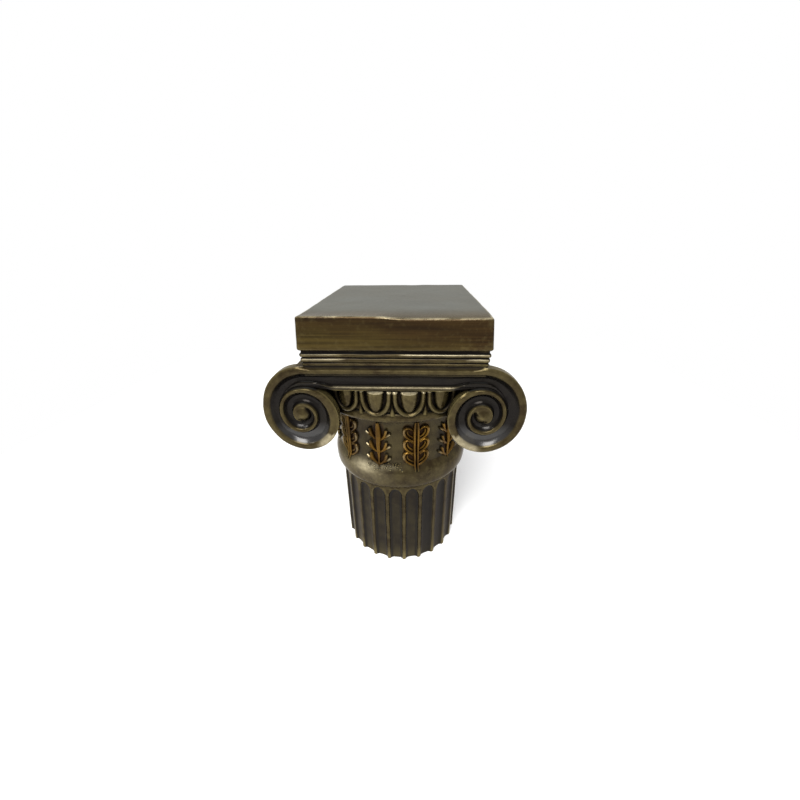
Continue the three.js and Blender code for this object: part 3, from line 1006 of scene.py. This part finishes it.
def egg_top_highlight(points):
    """Painted highlight on the lit bevels along the tops of the eggs and shells."""
    radius = radius_of(points)
    at_top = np.abs(points[:, 2] - EGG_TOP - EGG_BEVEL / 2) < EGG_BEVEL
    return 0.7 * at_top * (radius > ECHINUS_RADIUS + 0.6) * (radius < ECHINUS_RADIUS + 5)


def leaf_glints(points):
    """Painted glints on the tips of the leaflets."""
    across, lobed = leaf_place(points)
    height = points[:, 2]
    raised = ramp_up(lifted_off_neck(points), 1.1, 0.6) * (height > NECK_FOOT + 1) * (height < LEAF_TOP)
    return 0.45 * raised * ramp_up(np.abs(across), np.where(lobed, 7.0, 5.6), 1.5)


def painted_highlights_of(points):
    """All the painted highlights."""
    highlight_marks = (slab_highlight, course_highlight, lip_highlight, egg_top_highlight, leaf_glints, collar_highlight)
    return np.max([highlight_mark(points) for highlight_mark in highlight_marks], axis=0)


def inside_scrolls(points, margin):
    """True within the outline of the scrolls and of the band between them, drawn in by a margin."""
    across = points[:, 0]
    eye = np.where(across > 0, RIGHT_SCROLL["eye"], LEFT_SCROLL["eye"])
    outward = (np.abs(across) - eye) / SCROLL_SQUEEZE
    up = points[:, 2] - EYE_HEIGHT
    turns = np.mod(np.arctan2(outward, up) / (2 * math.pi), 1)
    in_band = (outward < 0) & (up > spiral_radius(1) - LIP_DROP) & (up < SCROLL_RADIUS - margin)
    return in_band | (np.hypot(outward, up) < spiral_radius(turns) - margin)


def wash_on_faces(points):
    """Wash in the troughs of the scrolls, kept off the painted highlight along the lip; darker along the top
    of the band, just under the lowest course.
    """
    across, depth, height = np.abs(points).T
    in_trough = inside_scrolls(points, 1.6) * (depth > SCROLL_BACK + 1)
    trough = ramp_up(SCROLL_FRONT - depth, 0.3, 1.5) * in_trough
    behind = (height < BAND_DARK_TOP) * (across < BAND_DARK_HALF) * (depth > SCROLL_BACK)
    band_top = 0.7 * ramp_up(height, BAND_DARK_FOOT, 1.4) * behind
    return np.maximum(trough * (1 - 0.9 * lip_highlight(points)), band_top)


def wash_and_shade_in_flutes(points):
    """Wash in the flutes with painted shade: darkest along their sides and on the right of the front,
    painted lighter in the middle of their floors on the left.
    """
    below = SHAFT_RADIUS - radius_of(points)
    # floors on the left of the front painted lighter, where light falls
    lit_floor = 0.35 * (1 - ramp_up(angle_of(points), 15, 20))
    return ramp_up(below, 0.2, 0.8) * (1 - lit_floor * ramp_up(below, 1.5, 0.5)) * (points[:, 2] < SHAFT_TOP)


def leaf_ground(points):
    """The ground inside the leaves."""
    across, lobed = leaf_place(points)
    height = points[:, 2]
    in_leaf = ramp_down(np.abs(across), np.where(lobed, 9.0, 4.5), 1.5) * ramp_up(height, NECK_FOOT, 3)
    return in_leaf * ramp_down(height, LEAF_TOP - 1, 3) * (lifted_off_neck(points) < GROUND_LIFT)


def wash_and_shade_on_neck(points):
    """A weak wash on the ground of the neck, with painted shade towards the sides, under the bead and on its
    underside; dark on the ground inside the leaves.
    """
    height = points[:, 2]
    ground = (lifted_off_neck(points) < GROUND_LIFT) * (height > NECK_FOOT) * (height < NECK_TOP + 1)
    between = 0.3 + 0.25 * ramp_up(np.abs(angle_of(points)), 28, 12)
    below_bead = ramp_up(height, LEAF_TOP - 0.5, 4)
    soffit = (height > NECK_TOP) & (height < BEAD_BOTTOM + 0.4)
    near = radius_of(points) < ECHINUS_RADIUS + 0.4
    return np.max([ground * between, ground * below_bead, leaf_ground(points), soffit & near], axis=0)


def shade_on_collar(points):
    """Painted shade on the front and the right of the collar."""
    angle, height = angle_of(points), points[:, 2]
    front = ramp_up(angle, -16, 12) * ramp_down(angle, 60, 40)
    return 0.22 * front * ramp_up(height, SHAFT_TOP, 3) * ramp_down(height, COLLAR_MIDDLE + 7, 3)


def wash_in_courses(points):
    """Wash in the grooves beside the courses, which step out towards the slab."""
    height, inset = points[:, 2], slab_inset(points)
    lowest, highest = COURSES[0][2], COURSES[-1][2]
    bead_inset = lowest - (lowest - highest) * (height - LOWEST_COURSE) / COURSE_CLIMB
    in_groove = ramp_up(inset - bead_inset, 0.1, 0.35) * (inset < 3)
    return in_groove * (height > COURSES[0][0] - 0.5) * (height < SLAB_BOTTOM + 0.05)


def sunk_of(points):
    """How much dark wash and painted shade lie on each point, from 0 to 1."""
    washes = (wash_on_faces, wash_and_shade_in_flutes, wash_and_shade_on_neck, shade_on_collar, wash_in_courses)
    return np.max([wash(points) for wash in washes], axis=0)


def keep(mesh, name, values):
    layer = mesh.attributes.new(name, "FLOAT", "POINT")
    layer.data.foreach_set("value", np.asarray(values, np.float32))


def paint(mesh):
    """Keeps on each point how closed in it is (for painted shade), how it bends (for wear), its gilt, its
    wash and painted shade, its painted highlights, its gloss, how red and painted-shaded it is, and its
    painted sheen.
    """
    ends = edge_ends(mesh)
    points = vertex_array(mesh, "vertices")
    across, depth, height = points.T
    inner = leaf_ground(points)
    # painted shade where the surface is closed in, also in the course grooves and inside the leaves, lifted
    # under the painted highlights
    closed = np.max([recess_of(mesh), 0.4 * wash_in_courses(points), 0.4 * inner], axis=0)
    bright = np.maximum(egg_top_highlight(points), lip_highlight(points))
    keep(mesh, "recess", spread(closed, ends, 1) * (1 - 0.9 * bright))
    keep(mesh, "edge", spread(ridge_of(mesh, ends), ends, 2))
    keep(mesh, "gilt", np.maximum(gilt_of(points), inner))
    keep(mesh, "sunk", sunk_of(points))
    # painted highlights: bright lines, dashes, glints and lit bevels
    keep(mesh, "painted_highlight", painted_highlights_of(points))
    keep(mesh, "slab", ramp_up(height, SLAB_BOTTOM, 1.5))
    keep(mesh, "gloss", wash_on_faces(points) * ramp_down(height, GLOSS_TOP, 12))
    # redder and darker up the slab's faces; the rise towards the right is painted shade
    climb = (height - SLAB_BOTTOM) / (TOTAL_HEIGHT - SLAB_BOTTOM)
    facing_up = ramp_up(vertex_array(mesh, "vertex_normals")[:, 2], 0.8, 0.18)
    keep(mesh, "redness_and_shade", (climb + 0.4 * across / SLAB_HALF_X) * (1 - facing_up))
    # painted grey sheen on what faces up, most on the slab's top away from its front edge
    on_top = 0.15 + 0.85 * ramp_up(depth + SLAB_HALF_Y, 4, 22)
    keep(mesh, "painted_sheen", facing_up * np.where(height > TOTAL_HEIGHT - 3, on_top, 0.2))


def column_piece():
    noise.seed_set(CASTING_SEED)
    bodies = [turned_core(), fluted_shaft(), band_block(), courses(), slab()]
    bodies.append(joined([roll(RIGHT_SCROLL), roll(LEFT_SCROLL)]))
    bodies.append(scroll_faces())
    bodies += ring_carving() + leaf_carving() + rough_patch()
    piece = united("column_casting", bodies)
    mesh = piece.data
    mesh.materials.clear()
    without_scraps(mesh)
    paint(mesh)
    mesh.transform(Matrix.Scale(MM, 4))
    mesh.shade_smooth()
    mesh.set_sharp_from_angle(angle=math.radians(38))
    return piece


# Finish
class Nodes:
    """Short names for building the nodes of a material or of the world."""

    def __init__(self, owner, shader):
        owner.use_nodes = True
        self.owner = owner
        self.tree = owner.node_tree
        self.shader = self.tree.nodes[shader]

    def add(self, kind, inputs=None, **settings):
        node = self.tree.nodes.new(kind)
        for name, value in settings.items():
            setattr(node, name, value)
        for name, value in (inputs or {}).items():
            self.feed(node.inputs[name], value)
        return node

    def feed(self, socket, value):
        if isinstance(value, bpy.types.NodeSocket):
            self.tree.links.new(value, socket)
        else:
            socket.default_value = value

    def attribute(self, name):
        return self.add("ShaderNodeAttribute", attribute_name=name).outputs["Fac"]

    def cloud(self, scale, detail, stretch=(1, 1, 1)):
        where = self.add("ShaderNodeTexCoord").outputs["Object"]
        place = self.add("ShaderNodeMapping", {"Vector": where, "Scale": stretch}).outputs["Vector"]
        inputs = {"Vector": place, "Scale": scale, "Detail": detail, "Roughness": 0.55}
        return self.add("ShaderNodeTexNoise", inputs).outputs["Fac"]

    def span(self, value, low, high, start=0.0, end=1.0):
        inputs = {"Value": value, "From Min": low, "From Max": high, "To Min": start, "To Max": end}
        return self.add("ShaderNodeMapRange", inputs).outputs["Result"]

    def math(self, operation, first, second):
        node = self.add("ShaderNodeMath", operation=operation)
        self.feed(node.inputs[0], first)
        self.feed(node.inputs[1], second)
        return node.outputs[0]

    def mix(self, share, first, second):
        node = self.add("ShaderNodeMix", data_type="RGBA")
        self.feed(node.inputs["Factor"], share)
        self.feed(node.inputs[6], first)
        self.feed(node.inputs[7], second)
        return node.outputs[2]


def colour(red, green, blue):
    """A colour given as the eye sees it, 0 to 255, in the light units that shaders use."""
    def light(value):
        share = value / 255
        return share / 12.92 if share < 0.04045 else ((share + 0.055) / 1.055) ** 2.4
    return (light(red), light(green), light(blue), 1.0)


def antique_bronze():
    nodes = Nodes(bpy.data.materials.new("antique_bronze"), "Principled BSDF")
    edge, painted_highlight = nodes.attribute("edge"), nodes.attribute("painted_highlight")
    gilt, on_slab = nodes.attribute("gilt"), nodes.attribute("slab")
    blotch = nodes.cloud(38, 4)
    mottle = nodes.cloud(150, 4)
    grain = nodes.cloud(420, 2)
    streak = nodes.cloud(60, 3, stretch=(0.35, 0.35, 14))
    uneven = nodes.span(grain, 0.25, 0.75, -0.15, 0.15)

    def roughened(value, amount):
        return nodes.math("ADD", value, nodes.math("MULTIPLY", uneven, amount))

    # bare bronze, brushed on the slab; redder and darker towards its top, and painted shade darker towards
    # its right
    tone = nodes.math("ADD", nodes.math("MULTIPLY", blotch, 0.5), nodes.math("MULTIPLY", mottle, 0.5))
    brown = nodes.mix(nodes.span(tone, 0.38, 0.62), colour(40, 32, 18), colour(64, 56, 34))
    brush = nodes.span(streak, 0.32, 0.68)
    olive_brushed = nodes.mix(brush, colour(46, 37, 18), colour(68, 56, 27))
    red_and_shaded_brushed = nodes.mix(brush, colour(35, 25, 14), colour(53, 39, 20))
    redness_and_shade = nodes.math("ADD", nodes.attribute("redness_and_shade"), nodes.span(blotch, 0.3, 0.7, -0.3, 0.3))
    brushed = nodes.mix(nodes.span(redness_and_shade, 0.1, 0.7), olive_brushed, red_and_shaded_brushed)
    body = nodes.mix(on_slab, brown, brushed)

    # edges lighter with wear, then the painted highlights over them
    bare = nodes.span(roughened(edge, 0.4), 0.02, 0.3)
    worn_and_highlit = nodes.mix(bare, body, colour(95, 85, 54))
    highlight_mark = nodes.math("MULTIPLY", painted_highlight, nodes.span(grain, 0.2, 0.7, 0.5, 1))
    worn_and_highlit = nodes.mix(highlight_mark, worn_and_highlit, colour(190, 178, 146))

    # gold on the leaves
    gold = nodes.mix(nodes.span(blotch, 0.4, 0.62), colour(64, 43, 8), colour(110, 79, 21))
    painted = nodes.mix(nodes.math("MULTIPLY", gilt, 0.85), worn_and_highlit, gold)

    # dark wash in the hollows, with painted shade under the bead, on the collar, along the flutes and the
    # neck's sides; painted shade darkest where the surface is closed in
    hollow = roughened(nodes.attribute("sunk"), 0.4)
    washed_and_shaded = nodes.mix(nodes.span(hollow, 0.1, 0.85, 0, 0.92), painted, colour(19, 18, 19))
    recess = roughened(nodes.attribute("recess"), 0.2)
    deep = nodes.span(recess, 0.14, 0.5)
    dark = nodes.mix(gilt, colour(13, 10, 8), colour(28, 15, 5))
    occlusion_shaded = nodes.mix(deep, washed_and_shaded, dark)

    # painted grey sheen on what faces up
    painted_sheen = nodes.math("MULTIPLY", nodes.attribute("painted_sheen"), nodes.span(blotch, 0.2, 0.8, 0.6, 0.85))
    nodes.feed(nodes.shader.inputs["Base Color"], nodes.mix(painted_sheen, occlusion_shaded, colour(118, 121, 117)))

    # shine: duller in the hollows and under the painted sheen, glossy in the lower troughs of the scrolls
    shine = roughened(nodes.span(deep, 0, 1, 0.24, 0.4), 0.2)
    nodes.feed(nodes.shader.inputs["Roughness"], nodes.math("ADD", shine, nodes.math("MULTIPLY", painted_sheen, 0.3)))
    nodes.feed(nodes.shader.inputs["Coat Weight"], nodes.span(nodes.attribute("gloss"), 0.1, 0.9, 0, 0.8))
    nodes.shader.inputs["Coat Roughness"].default_value = 0.24
    nodes.shader.inputs["Metallic"].default_value = 0.6
    nodes.feed(nodes.shader.inputs["Specular IOR Level"], nodes.span(deep, 0, 1, 0.25, 0.05))
    nodes.shader.inputs["Specular Tint"].default_value = (0.5, 0.46, 0.4, 1)

    # fine grain all over, brush marks on the slab
    height = nodes.math("ADD", nodes.math("MULTIPLY", grain, 0.3), nodes.math("MULTIPLY", streak, on_slab))
    bump = nodes.add("ShaderNodeBump", {"Height": height, "Strength": 0.2, "Distance": 0.3 * MM})
    nodes.feed(nodes.shader.inputs["Normal"], bump.outputs["Normal"])
    return nodes.owner


def pale_floor():
    nodes = Nodes(bpy.data.materials.new("pale_floor"), "Principled BSDF")
    tone = nodes.span(nodes.cloud(3, 2), 0.3, 0.7)
    pale = nodes.mix(tone, (0.96, 0.96, 0.96, 1), (0.98, 0.98, 0.98, 1))
    nodes.feed(nodes.shader.inputs["Base Color"], pale)
    nodes.shader.inputs["Roughness"].default_value = 0.9
    return nodes.owner


# Studio
def floor():
    corners = [(x * FLOOR_HALF, y * FLOOR_HALF, 0) for x, y in ((-1, -1), (1, -1), (1, 1), (-1, 1))]
    mesh = bpy.data.meshes.new("floor")
    mesh.from_pydata(corners, [], [(0, 1, 2, 3)])
    mesh.materials.append(pale_floor())
    plane = in_scene("floor", mesh)
    plane.location.z = node_low.z


def soft_light(name, place, target, size, power):
    lamp = bpy.data.lights.new(name, "AREA")
    lamp.shape = "SQUARE"
    lamp.size = size
    lamp.energy = power
    holder = in_scene(name, lamp)
    holder.location = place
    holder.rotation_euler = (Vector(target) - Vector(place)).to_track_quat("-Z", "Y").to_euler()


def studio():
    middle = (0, 0, 0.5 * TOTAL_HEIGHT * MM)
    for name, place, size, power in LAMPS:
        soft_light(name, place, middle, size, power)
    world = bpy.data.worlds.new("studio")
    nodes = Nodes(world, "Background")
    direction = nodes.add("ShaderNodeTexCoord").outputs["Generated"]
    height = nodes.add("ShaderNodeSeparateXYZ", {"Vector": direction}).outputs["Z"]
    nodes.shader.inputs["Color"].default_value = (1, 1, 1, 1)
    nodes.feed(nodes.shader.inputs["Strength"], nodes.span(height, 0.42, 0.75, 1.0, 0.3))
    bpy.context.scene.world = world
    bpy.context.scene.view_settings.view_transform = "Standard"


def camera():
    forward = Vector((math.sin(CAMERA_YAW) * math.cos(CAMERA_PITCH),
                      math.cos(CAMERA_YAW) * math.cos(CAMERA_PITCH), -math.sin(CAMERA_PITCH)))
    level = Vector((math.cos(CAMERA_YAW), -math.sin(CAMERA_YAW), 0))
    upward = level.cross(forward)
    right = level * math.cos(CAMERA_ROLL) + upward * math.sin(CAMERA_ROLL)
    up = upward * math.cos(CAMERA_ROLL) - level * math.sin(CAMERA_ROLL)
    lens = bpy.data.cameras.new("camera")
    lens.sensor_width = SENSOR_MM
    lens.lens = SENSOR_MM * FOCAL_PIXELS / IMAGE_PIXELS
    lens.clip_start = 0.01
    holder = in_scene("camera", lens)
    turn = Matrix((right, up, -forward)).transposed().to_4x4()
    holder.matrix_world = Matrix.Translation(Vector(CAMERA_PLACE) * MM) @ turn
    bpy.context.scene.camera = holder


camera()
studio()
floor()
column = column_piece()
column.data.materials.append(antique_bronze())
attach(column, "root")
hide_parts(NODE)
